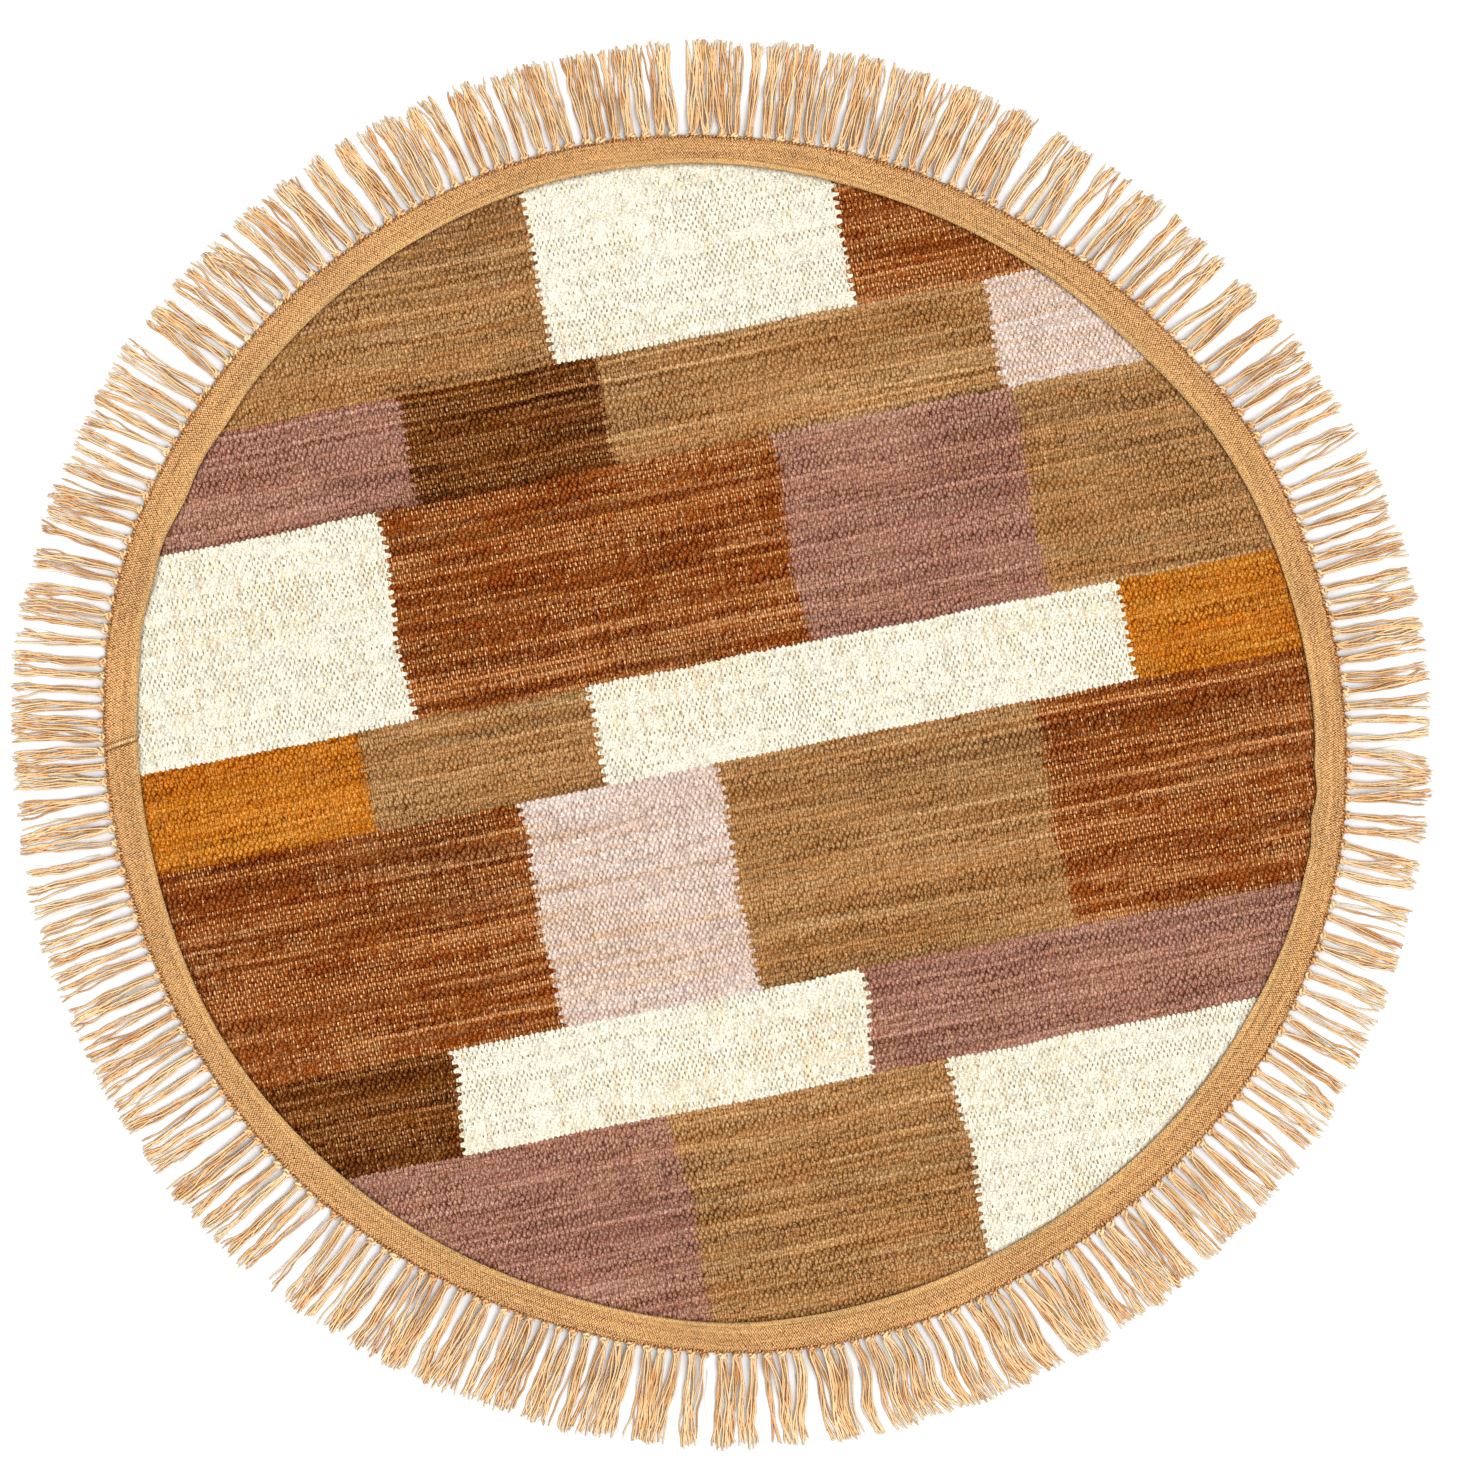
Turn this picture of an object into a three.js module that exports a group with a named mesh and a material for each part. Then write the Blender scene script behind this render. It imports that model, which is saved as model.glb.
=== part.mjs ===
// A round flat-woven cotton rug lying on a floor, in millimetres with +Z up. It has three pieces:
// the woven field, the tape folded and sewn over its cut rim, and the knotted fringe round it.
import * as THREE from "three";

// The rim as it was cut and sewn, a row for every 15 degrees counter-clockwise from +X: the tape's
// outer radius, the tape's width, how far the fringe reaches past it, and how far its tips lean.
const rimColumns = ["tapeOuter", "tapeWidth", "fringeReach", "fringeLean"];
const rimRows = [
  [604.3, 29.5, 87.5, 1],
  [599.4, 29.5, 93.0, 0],
  [596.0, 30.0, 92.5, 0],
  [588.6, 32.0, 94.0, -4],
  [586.1, 30.5, 97.5, -7],
  [590.1, 31.0, 99.5, -5],
  [595.0, 26.5, 97.5, -3],
  [604.3, 27.5, 93.0, 1],
  [608.7, 27.5, 94.5, 5],
  [613.1, 29.0, 95.0, 6],
  [616.1, 31.5, 94.0, 2],
  [618.0, 31.5, 92.0, 5],
  [610.2, 31.5, 95.0, 0],
  [602.3, 28.5, 101.0, 4],
  [599.4, 26.5, 103.0, 0],
  [598.9, 31.0, 103.5, -4],
  [593.5, 29.5, 103.0, -3],
  [591.5, 29.5, 101.0, -8],
  [594.5, 28.5, 97.0, -2],
  [594.5, 31.5, 98.0, 12],
  [593.5, 30.5, 100.0, 9],
  [598.9, 31.5, 95.5, -3],
  [605.8, 32.5, 90.5, -5],
  [608.2, 29.5, 83.5, 0],
];

// Where the tape's inner edge is drawn up into small waves.
const ruffles = [
  { bearing: 158, spread: 14, pitch: 9, depth: 1.6 },
  { bearing: 354, spread: 5, pitch: 6, depth: 2.0 },
];

// Thicknesses, from the floor up: tape, gap, pressed rim of the weave, gap, tape.
const tapeThickness = 1.1;
const clothGap = 0.3;
const pressedRim = 2.4;
const fieldThickness = 4.0;
const stackHeight = 2 * tapeThickness + 2 * clothGap + pressedRim;
const foldRound = 0.9;

// How far inside the tape's inner edge the field comes down to the floor and up to its full face.
const undersideStart = 10;
const undersideEnd = 1.5;
const faceStart = 6;
const faceEnd = 1.0;

// The lapped join: one end of the tape lies over the other, and its folded end runs aslant.
const lap = { from: 176.4, to: 180.0, ramp: 0.6, slantDegrees: 2.0, rise: 1.0 };
const lapStep = 0.6;
const lapMargin = 1.8;

// The fringe: a narrow sewn heading against the tape, and a lock knotted into it at each place.
const lockCount = 256;
const headingWidth = 2.4;
const headingHeight = 3.0;
const lockStations = [
  { offset: 0, share: 0, width: 4.2, height: headingHeight },
  { offset: 2.8, share: 0, width: 6.6, height: 4.6 },
  { offset: 6.2, share: 0, width: 3.6, height: 2.6 },
  { offset: 6.2, share: 0.35, width: 5.6, height: 2.6 },
  { offset: 6.2, share: 0.7, width: 6.2, height: 2.2 },
  { offset: 6.2, share: 1, width: 4.0, height: 1.4 },
];

// How far each lock strays: its place as a share of the pitch, the rest in millimetres at most.
const placeWander = 0.15;
const leanWander = 3.0;
const bowWander = 1.6;
const lengthWander = 5.0;

const ringStep = 3;
const fullTurn = 360;

function ruffleAt(bearing) {
  let depth = 0;
  for (const wave of ruffles) {
    const off = bearing - wave.bearing;
    const fade = Math.exp(-((off / wave.spread) ** 2));
    depth += wave.depth * fade * Math.sin((2 * Math.PI * off) / wave.pitch);
  }
  return depth;
}

// A smooth curve through the values of one column, which closes on itself.
function columnAt(column, bearing) {
  const place = (bearing / fullTurn) * rimRows.length;
  const row = Math.floor(place);
  const t = place - row;
  const [a, b, c, d] = [-1, 0, 1, 2].map((step) => {
    const at = (row + step + rimRows.length) % rimRows.length;
    return rimRows[at][rimColumns.indexOf(column)];
  });
  return b + 0.5 * t * (c - a + t * (2 * a - 5 * b + 4 * c - d + t * (3 * (b - c) + d - a)));
}

// The rim's radii at one bearing, in degrees.
function rimAt(bearing) {
  const outer = columnAt("tapeOuter", bearing);
  const inner = outer - columnAt("tapeWidth", bearing) + ruffleAt(bearing);
  return { outer, inner };
}

// A point at a bearing and radius, moved sideways along the rim by aside.
function pointAt(bearing, radius, height, aside = 0) {
  const angle = THREE.MathUtils.degToRad(bearing);
  return new THREE.Vector3(
    radius * Math.cos(angle) - aside * Math.sin(angle),
    radius * Math.sin(angle) + aside * Math.cos(angle),
    height,
  );
}

// A value from -1 to 1 that is settled by a lock's number and by what it is used for.
function wander(lock, use) {
  const turned = Math.sin(lock * 12.9898 + use * 78.233) * 43758.5453;
  return 2 * (turned - Math.floor(turned)) - 1;
}

class Surface {
  constructor() {
    this.points = [];
    this.triangles = [];
  }
  add(point) {
    this.points.push(point.x, point.y, point.z);
    return this.points.length / 3 - 1;
  }
  quad(a, b, c, d) {
    this.triangles.push(a, b, c, a, c, d);
  }
  // Skins the sections of a ring, each a list of points that runs outward below and inward above.
  ring(sections, closedSection) {
    const rows = sections.map((section) => section.map((point) => this.add(point)));
    rows.forEach((row, i) => {
      const next = rows[(i + 1) % rows.length];
      const sides = closedSection ? row.length : row.length - 1;
      for (let j = 0; j < sides; j += 1) {
        const k = (j + 1) % row.length;
        this.quad(row[j], next[j], next[k], row[k]);
      }
    });
    return rows;
  }
  // Covers the loop of points in one column of the rows, facing up or down.
  cover(rows, column, facesUp) {
    const loop = rows.map((row) => row.at(column));
    const outline = loop.map((at) => new THREE.Vector2(this.points[3 * at], this.points[3 * at + 1]));
    for (const [a, b, c] of THREE.ShapeUtils.triangulateShape(outline, [])) {
      this.triangles.push(loop[a], ...(facesUp ? [loop[b], loop[c]] : [loop[c], loop[b]]));
    }
  }
  mesh(name, material) {
    const geometry = new THREE.BufferGeometry();
    geometry.setAttribute("position", new THREE.Float32BufferAttribute(this.points, 3));
    geometry.setIndex(this.triangles);
    geometry.computeVertexNormals();
    const mesh = new THREE.Mesh(geometry, material);
    mesh.name = name;
    return mesh;
  }
}

function cloth(color) {
  return new THREE.MeshStandardMaterial({ color, roughness: 0.95, metalness: 0 });
}

// Bearings for the sections of a ring: even steps, and closer ones at the lapped join.
function ringBearings() {
  const bearings = [];
  for (let bearing = 0; bearing < fullTurn; bearing += ringStep) {
    bearings.push(bearing);
  }
  for (let bearing = lap.from - lapMargin; bearing < lap.to + lapMargin; bearing += lapStep) {
    bearings.push(bearing);
  }
  return [...new Set(bearings.map((bearing) => Number(bearing.toFixed(3))))].sort((a, b) => a - b);
}

// The field's edge, from the flat underside, under and round the pressed rim, to the flat face.
function fieldSection(bearing) {
  const rim = rimAt(bearing);
  const end = rim.outer - tapeThickness - clothGap;
  const low = tapeThickness + clothGap;
  return [
    pointAt(bearing, rim.inner - undersideStart, 0),
    pointAt(bearing, rim.inner - undersideEnd, low),
    pointAt(bearing, end, low),
    pointAt(bearing, end, low + pressedRim),
    pointAt(bearing, rim.inner - faceEnd, low + pressedRim),
    pointAt(bearing, rim.inner - faceStart, fieldThickness),
  ];
}

function makeField(bearings) {
  const surface = new Surface();
  const rows = surface.ring(bearings.map(fieldSection), false);
  surface.cover(rows, 0, false);
  surface.cover(rows, -1, true);
  return surface.mesh("woven_field", cloth(0xa8774a));
}

// How much the lapped end lifts the tape's upper layer at its inner edge (0) or its outer one (1).
function lapRise(bearing, across) {
  const { smoothstep } = THREE.MathUtils;
  const slant = lap.slantDegrees * (across - 0.5);
  const starts = smoothstep(bearing, lap.from - lap.ramp, lap.from + lap.ramp);
  const ends = 1 - smoothstep(bearing - slant, lap.to - lap.ramp / 2, lap.to + lap.ramp / 2);
  return lap.rise * starts * ends;
}

// The tape folded round the rim: its lower layer, its fold, and its upper layer.
function tapeSection(bearing) {
  const rim = rimAt(bearing);
  const innerWall = rim.outer - tapeThickness;
  const ceiling = stackHeight - tapeThickness;
  const outerTop = stackHeight + lapRise(bearing, 1);
  const innerTop = stackHeight + lapRise(bearing, 0);
  return [
    pointAt(bearing, rim.inner, 0),
    pointAt(bearing, rim.outer - foldRound, 0),
    pointAt(bearing, rim.outer, foldRound),
    pointAt(bearing, rim.outer, outerTop - foldRound),
    pointAt(bearing, rim.outer - foldRound, outerTop),
    pointAt(bearing, rim.inner, innerTop),
    pointAt(bearing, rim.inner, ceiling),
    pointAt(bearing, innerWall, ceiling),
    pointAt(bearing, innerWall, tapeThickness),
    pointAt(bearing, rim.inner, tapeThickness),
  ];
}

function makeTape(bearings) {
  const surface = new Surface();
  surface.ring(bearings.map(tapeSection), true);
  return surface.mesh("edge_tape", cloth(0xc18d62));
}

// A lock's three-sided sections from root to tip, each flat on the floor with a ridge on top.
function lockSections(bearing, lock, headingOuter) {
  const knotEnd = lockStations.at(-1).offset;
  const reach = columnAt("fringeReach", bearing) + lengthWander * (wander(lock, 2) - 1) * 0.5;
  const free = reach - clothGap - headingWidth - knotEnd;
  const lean = columnAt("fringeLean", bearing) + leanWander * wander(lock, 3);
  const bow = bowWander * wander(lock, 4);
  return lockStations.map(({ offset, share, width, height }) => {
    const radius = headingOuter + offset + share * free;
    const aside = lean * share ** 1.4 + bow * Math.sin(Math.PI * share);
    return [
      pointAt(bearing, radius, 0, aside - width / 2),
      pointAt(bearing, radius, 0, aside + width / 2),
      pointAt(bearing, radius, height, aside),
    ];
  });
}

// The heading is a narrow strip, and each lock grows out of its outer wall.
function makeFringe() {
  const surface = new Surface();
  const locks = [];
  for (let lock = 0; lock < lockCount; lock += 1) {
    const bearing = (lock + 0.5 + placeWander * wander(lock, 1)) * (fullTurn / lockCount);
    const headingInner = rimAt(bearing).outer + clothGap;
    const sections = lockSections(bearing, lock, headingInner + headingWidth);
    locks.push({
      low: surface.add(pointAt(bearing, headingInner, 0)),
      high: surface.add(pointAt(bearing, headingInner, headingHeight)),
      rows: sections.map((section) => section.map((point) => surface.add(point))),
    });
  }
  locks.forEach((lock, i) => {
    const next = locks[(i + 1) % lockCount];
    const [left, right, ridge] = lock.rows[0];
    const [nextLeft, , nextRidge] = next.rows[0];
    surface.quad(lock.high, ridge, nextRidge, next.high);
    surface.quad(lock.low, lock.high, next.high, next.low);
    surface.quad(right, nextLeft, nextRidge, ridge);
    surface.quad(lock.low, next.low, nextLeft, right);
    surface.triangles.push(lock.low, right, left);
    for (let s = 0; s + 1 < lock.rows.length; s += 1) {
      const near = lock.rows[s];
      const far = lock.rows[s + 1];
      surface.quad(near[0], near[1], far[1], far[0]);
      surface.quad(near[1], near[2], far[2], far[1]);
      surface.quad(near[2], near[0], far[0], far[2]);
    }
    surface.triangles.push(...lock.rows.at(-1));
  });
  return surface.mesh("fringe", cloth(0xc99c68));
}

const bearings = ringBearings();
const rug = new THREE.Group();
rug.add(makeField(bearings), makeTape(bearings), makeFringe());

// The rug's middle, measured over the fringe, stands over the origin.
const middle = new THREE.Box3().setFromObject(rug).getCenter(new THREE.Vector3());
rug.position.set(-middle.x, -middle.y, 0);

export default rug;
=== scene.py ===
import math
from functools import partialmethod

import bpy
import numpy as np
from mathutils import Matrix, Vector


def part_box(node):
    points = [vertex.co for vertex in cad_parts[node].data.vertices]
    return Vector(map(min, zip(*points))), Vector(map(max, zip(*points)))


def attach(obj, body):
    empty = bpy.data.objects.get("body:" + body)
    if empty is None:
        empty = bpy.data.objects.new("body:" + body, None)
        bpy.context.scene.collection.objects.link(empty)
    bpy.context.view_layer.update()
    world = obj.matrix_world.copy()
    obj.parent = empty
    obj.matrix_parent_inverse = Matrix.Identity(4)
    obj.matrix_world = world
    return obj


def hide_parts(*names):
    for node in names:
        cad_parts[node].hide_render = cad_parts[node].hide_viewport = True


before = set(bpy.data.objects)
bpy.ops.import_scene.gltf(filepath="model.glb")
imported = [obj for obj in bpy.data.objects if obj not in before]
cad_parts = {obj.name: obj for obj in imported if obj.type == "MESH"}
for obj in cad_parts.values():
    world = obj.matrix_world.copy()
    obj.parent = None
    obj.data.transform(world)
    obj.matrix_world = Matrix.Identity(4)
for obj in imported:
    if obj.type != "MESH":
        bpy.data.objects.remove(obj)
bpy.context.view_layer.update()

mm = 0.001
fullTurn = 360
print("frame loaded:", sorted(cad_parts))


def smooth(value, low, high):
    t = np.clip((np.asarray(value, float) - low) / (high - low), 0, 1)
    return t * t * (3 - 2 * t)


def bump(value, middle, width):  # 1 at the middle, falling off to both sides
    return np.exp(-(((value - middle) / width) ** 2))


# The rim as it was cut and sewn, a row for every 15 degrees counter-clockwise from +X, in millimetres;
# the last column is the share of the floor that the fringe covers.
rimRadius = 0.6
rimColumns = ["tapeOuter", "tapeWidth", "fringeReach", "fringeLean", "fringeFullness"]
rimRows = [
    (604.3, 29.5, 87.5, 1, 0.56),
    (599.4, 29.5, 93.0, 0, 0.51),
    (596.0, 30.0, 92.5, 0, 0.48),
    (588.6, 32.0, 94.0, -4, 0.58),
    (586.1, 30.5, 97.5, -7, 0.56),
    (590.1, 31.0, 99.5, -5, 0.81),
    (595.0, 26.5, 97.5, -3, 0.81),
    (604.3, 27.5, 93.0, 1, 0.74),
    (608.7, 27.5, 94.5, 5, 0.81),
    (613.1, 29.0, 95.0, 6, 0.71),
    (616.1, 31.5, 94.0, 2, 0.58),
    (618.0, 31.5, 92.0, 5, 0.50),
    (610.2, 31.5, 95.0, 0, 0.70),
    (602.3, 28.5, 101.0, 4, 0.52),
    (599.4, 26.5, 103.0, 0, 0.60),
    (598.9, 31.0, 103.5, -4, 0.57),
    (593.5, 29.5, 103.0, -3, 0.64),
    (591.5, 29.5, 101.0, -8, 0.74),
    (594.5, 28.5, 97.0, -2, 0.72),
    (594.5, 31.5, 98.0, 12, 0.84),
    (593.5, 30.5, 100.0, 9, 0.72),
    (598.9, 31.5, 95.5, -3, 0.69),
    (605.8, 32.5, 90.5, -5, 0.50),
    (608.2, 29.5, 83.5, 0, 0.48),
]
ruffles = [  # where the tape's inner edge is drawn up into small waves, in degrees round the rim
    {"bearing": 158, "spread": 14, "pitch": 9, "depth": 1.6 * mm},
    {"bearing": 354, "spread": 5, "pitch": 6, "depth": 2.0 * mm},
]


def columnAt(name, bearing):  # a smooth closed curve through one column of the table
    values = np.array([row[rimColumns.index(name)] for row in rimRows]) * mm
    place = np.asarray(bearing, float) % fullTurn / fullTurn * len(values)
    row = np.floor(place).astype(int)
    t = place - row
    a, b, c, d = [values[(row + step) % len(values)] for step in (-1, 0, 1, 2)]
    return b + 0.5 * t * (c - a + t * (2 * a - 5 * b + 4 * c - d + t * (3 * (b - c) + d - a)))


def rimAt(bearing):  # the tape's outer and inner radius
    outer = columnAt("tapeOuter", bearing)
    inner = outer - columnAt("tapeWidth", bearing)
    for wave in ruffles:
        off = np.asarray(bearing, float) % fullTurn - wave["bearing"]
        fade = bump(off, 0, wave["spread"])
        inner = inner + wave["depth"] * fade * np.sin(math.tau * off / wave["pitch"])
    return outer, inner


def rimShift():  # from the rim's own centre to the frame's origin
    bearings = np.arange(0, fullTurn, 3)
    outer = rimAt(bearings)[0]
    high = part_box("edge_tape")[1]
    angle = np.radians(bearings)
    return high.x - (outer * np.cos(angle)).max(), high.y - (outer * np.sin(angle)).max()


shiftX, shiftY = rimShift()


def polar(bearing, radius, height, aside=0.0):  # points at bearings, moved along the rim by aside
    angle = np.radians(bearing)
    x = radius * np.cos(angle) - aside * np.sin(angle) + shiftX
    y = radius * np.sin(angle) + aside * np.cos(angle) + shiftY
    return np.stack(np.broadcast_arrays(x, y, height), axis=-1)


def softNoise(rng, across, size):  # smooth values from -1 to 1 over a square of that size, as a function
    count = int(size / across) + 4
    grid = rng.uniform(-1, 1, (count, count))

    def at(x, y):
        u = np.clip((np.asarray(x) + size / 2) / across, 0, count - 2.001)
        v = np.clip((np.asarray(y) + size / 2) / across, 0, count - 2.001)
        i, j = u.astype(int), v.astype(int)
        fu, fv = smooth(u - i, 0, 1), smooth(v - j, 0, 1)
        low = grid[i, j] * (1 - fu) + grid[i + 1, j] * fu
        high = grid[i, j + 1] * (1 - fu) + grid[i + 1, j + 1] * fu
        return low * (1 - fv) + high * fv

    return at


def addObject(name, data):
    made = bpy.data.objects.new(name, data)
    bpy.context.scene.collection.objects.link(made)
    return made


def addAttribute(mesh, name, values):  # a number or a vector for each point
    values = np.asarray(values, np.float32)
    kind, field = ("FLOAT", "value") if values.ndim == 1 else ("FLOAT_VECTOR", "vector")
    mesh.attributes.new(name, kind, "POINT").data.foreach_set(field, values.ravel())


def meshObject(name, points, faces=(), edges=(), attributes=None, material=None):
    mesh = bpy.data.meshes.new(name)
    mesh.from_pydata(np.asarray(points).tolist(), edges, faces)
    for label, values in (attributes or {}).items():
        addAttribute(mesh, label, values)
    if material:
        mesh.materials.append(material)
    mesh.shade_smooth()
    return addObject(name, mesh)


dyeShare = 0.91  # the light is raised by as much, so that the floor between the yarns stays pale


def linear(colour):  # 0 to 255 as on a screen, to what the shader works in
    parts = [c / 255 for c in colour]
    parts = [c / 12.92 if c <= 0.04045 else ((c + 0.055) / 1.055) ** 2.4 for c in parts]
    return [c * dyeShare for c in parts] + [1.0]


def fillRamp(ramp, stops):  # constant steps: a place from 0 to 1 and the colour from there on
    ramp.interpolation = "CONSTANT"
    while len(ramp.elements) < len(stops):
        ramp.elements.new(1.0)
    for element, (place, colour) in zip(ramp.elements, stops):
        element.position = place
        element.color = colour


class Wire:  # a socket that can be used in sums; the tree it belongs to comes along
    def __init__(self, tree, socket=None):
        self.tree = tree
        self.socket = socket

    def add(self, kind, values=None, output=0, **settings):  # any node: its settings, then its sockets
        node = self.tree.nodes.new(kind)
        for name, value in settings.items():
            if name == "stops":
                fillRamp(node.color_ramp, value)
            else:
                setattr(node, name, value)
        for key, value in (values or {}).items():
            if isinstance(value, Wire):
                self.tree.links.new(value.socket, node.inputs[key])
            else:
                node.inputs[key].default_value = value
        return Wire(self.tree, node.outputs[output])

    def math(self, operation, *others):
        return self.add("ShaderNodeMath", dict(enumerate((self, *others))), operation=operation)

    __add__ = __radd__ = partialmethod(math, "ADD")
    __sub__ = partialmethod(math, "SUBTRACT")
    __mul__ = __rmul__ = partialmethod(math, "MULTIPLY")
    __gt__ = partialmethod(math, "GREATER_THAN")
    cos = partialmethod(math, "COSINE")
    sin = partialmethod(math, "SINE")
    floor = partialmethod(math, "FLOOR")

    def __rsub__(self, other):
        return self.add("ShaderNodeMath", {0: other, 1: self}, operation="SUBTRACT")

    def __neg__(self):
        return self * -1

    def between(self, low, high):  # 0 below low, 1 above high, smooth on the way
        values = {0: self, 1: low, 2: high}
        return self.add("ShaderNodeMapRange", values, interpolation_type="SMOOTHSTEP", clamp=True)

    def parts(self):
        node = self.add("ShaderNodeSeparateXYZ", {0: self}).socket.node
        return [Wire(self.tree, socket) for socket in node.outputs]

    def also(self, output):  # another output of the same node
        return Wire(self.tree, self.socket.node.outputs[output])

    def vector(self, x, y, z=0.0):
        return self.add("ShaderNodeCombineXYZ", {0: x, 1: y, 2: z})

    def stored(self, name, output="Vector"):  # what the mesh holds under that name
        return self.add("ShaderNodeAttribute", {}, output, attribute_name=name)

    def mix(self, share, a, b):  # colours
        return self.add("ShaderNodeMix", {0: share, 6: a, 7: b}, 2, data_type="RGBA", clamp_factor=True)

    def scaled(self, share):  # a colour made lighter or darker
        return self.add("ShaderNodeVectorMath", {0: self, "Scale": share}, operation="SCALE")

    def bent(self, exponent):  # a colour made deeper or paler, the palest ones least
        return self.add("ShaderNodeGamma", {"Color": self, "Gamma": exponent})

    def noise(self, detail=1.0, output="Fac", scale=1.0):
        values = {"Vector": self, "Scale": scale, "Detail": detail, "Roughness": 0.5}
        return self.add("ShaderNodeTexNoise", values, output, noise_dimensions="2D")

    def clouds(self, u, v, counts, detail=2.0, output="Fac"):  # noise of so many clouds a unit each way
        return self.vector(u * counts[0], v * counts[1]).noise(detail, output)

    def chance(self):  # one random value for each place
        return self.add("ShaderNodeTexWhiteNoise", {"Vector": self}, "Value", noise_dimensions="2D")

    def pebbles(self, loose, feature="F1"):  # rounded cells on a grid that is loosened by that share
        values = {"Vector": self, "Scale": 1.0, "Randomness": loose}
        return self.add("ShaderNodeTexVoronoi", values, "Distance", voronoi_dimensions="2D", feature=feature)

    def ramp(self, stops):
        return self.add("ShaderNodeValToRGB", {0: self}, stops=stops)


def newMaterial(name, roughness, specular):
    material = bpy.data.materials.new(name)
    material.use_nodes = True
    shader = material.node_tree.nodes["Principled BSDF"]
    shader.inputs["Roughness"].default_value = roughness
    shader.inputs["Specular IOR Level"].default_value = specular
    return material, shader, Wire(material.node_tree)


def finishMaterial(wire, shader, colour, height):  # height is in metres
    normal = wire.add("ShaderNodeBump", {"Strength": 1.0, "Distance": 1.0, "Height": height})
    wire.tree.links.new(colour.socket, shader.inputs["Base Color"])
    wire.tree.links.new(normal.socket, shader.inputs["Normal"])


# The woven field. Its weft rises to the right; each block is a colour and the place where it ends along
# the weft, and each band of blocks starts at a place along the warp, in millimetres from the middle.
field = {
    "tiltDegrees": 11.3,
    "warpPitch": 2.55 * mm,
    "weftPitch": 4.5 * mm,
    "reach": 0.62,
    "face": 3.72 * mm,
    "relief": 0.46 * mm,
    "reliefFade": (-1 * mm, 5 * mm),
    "nubSizes": (0.55, 1.35),
    "nubWave": 25 * mm,
    "edgeDip": 0.65 * mm,
    "dipFade": (-3 * mm, 9 * mm),
    "swell": 0.35 * mm,
    "swellWave": 120 * mm,
    "swellFade": (0, 20 * mm),
    "rowWander": 1.3 * mm,
    "rowWave": 60 * mm,
    "warpWander": 0.8 * mm,
    "warpWave": 90 * mm,
    "pointWander": 0.36 * mm,
    "wanderFade": (0, 12 * mm),
    "rimTop": 3.6 * mm,
    "rimBottom": 1.4 * mm,
    "rimInset": 1.4 * mm,
    "undersideStart": 10 * mm,
    "undersideEnd": 1.5 * mm,
    "underTape": 7 * mm,
    "seed": 11,
    # How the nubs lie, where painted highlights and shade fall on them, and how the dye runs; patches to
    # grain count the clouds of noise for each warp and row.
    "weave": {
        "stray": (0.9, 0.6),
        "strayScale": 0.37,
        "rowBend": 0.2,
        # Width of the painted shade in the grooves between the rows.
        "seam": 0.12,
        "toothDrift": 7,
        "toothLobe": 2.0,
        "toothLuck": 0.7,
        "loose": 0.5,
        # Widths of the painted shade in the cracks and slots between the nubs, and the shift that puts a
        # painted highlight on one side of each nub.
        "crack": 0.16,
        "slot": (0.3, 0.66),
        "lightFrom": (0.04, -0.26),
        "patches": (0.026, 0.24),
        "wide": (0.011, 0.03),
        "veins": (0.8, 0.05),
        "fibres": (1.3, 2.6),
        "grain": (2.3, 3.7),
        "streakEnds": (0.54, 0.64),
        "streakTooEnds": (0.5, 0.66),
        "veinEnds": (0.56, 0.7),
        # Painted shadow of the tape's edge on the field: its darkest share, and how far in it reaches, in
        # millimetres.
        "edgeShade": (0.52, 4.6),
    },
}
blockBands = [
    (395, [("taupe", -95), ("cream", 205), ("brown", 999)]),
    (290, [("rose", -255), ("umber", -60), ("taupe", 330), ("blush", 999)]),
    (80, [("cream", -300), ("brown", 95), ("rose", 335), ("taupe", 999)]),
    (-20, [("ochre", -360), ("taupe", -130), ("cream", 400), ("ochre", 999)]),
    (-245, [("brown", -215), ("blush", -20), ("taupe", 300), ("brown", 999)]),
    (-345, [("umber", -330), ("cream", 80), ("rose", 999)]),
    (-999, [("rose", -130), ("taupe", 150), ("cream", 999)]),
]
# Each yarn colour, the streaks along its rows, the veins along the warp, and what shows between the nubs,
# which is the warp's own colour except for cream and blush, where it is a painted shade; then how much there
# is of each streak and the veins, of what shows, and of painted shade in the slots and cracks.
yarnColumns = ["yarn", "streak", "streakToo", "vein", "show", "streakShares", "habits"]
yarnColours = {
    "brown": [
        (141, 69, 18), (182, 115, 63), (110, 56, 19), (198, 136, 81), (238, 194, 132),
        (0.8, 0.5, 0.3), (1.0, 0.6, 0.6),
    ],
    "taupe": [
        (169, 119, 69), (191, 146, 95), (138, 100, 59), (202, 151, 101), (226, 182, 126),
        (0.7, 0.6, 0.35), (0.6, 0.6, 0.5),
    ],
    "cream": [
        (246, 237, 216), (241, 226, 193), (235, 225, 201), (230, 196, 142), (128, 114, 80),
        (0.2, 0.3, 0.6), (1.0, 0.2, 0.06),
    ],
    "rose": [
        (164, 113, 94), (181, 133, 113), (133, 89, 73), (189, 141, 100), (214, 170, 130),
        (0.6, 0.6, 0.5), (0.5, 0.6, 0.5),
    ],
    "blush": [
        (225, 198, 182), (217, 179, 145), (234, 217, 209), (207, 169, 127), (134, 102, 88),
        (0.7, 0.6, 0.5), (0.9, 0.42, 0.28),
    ],
    "ochre": [
        (194, 111, 20), (208, 133, 44), (168, 92, 12), (218, 149, 62), (238, 190, 108),
        (0.6, 0.6, 0.35), (0.35, 0.6, 0.5),
    ],
    "umber": [
        (111, 57, 11), (141, 85, 39), (79, 38, 6), (159, 106, 59), (214, 166, 112),
        (0.6, 0.7, 0.35), (0.8, 0.68, 0.6),
    ],
}


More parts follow.
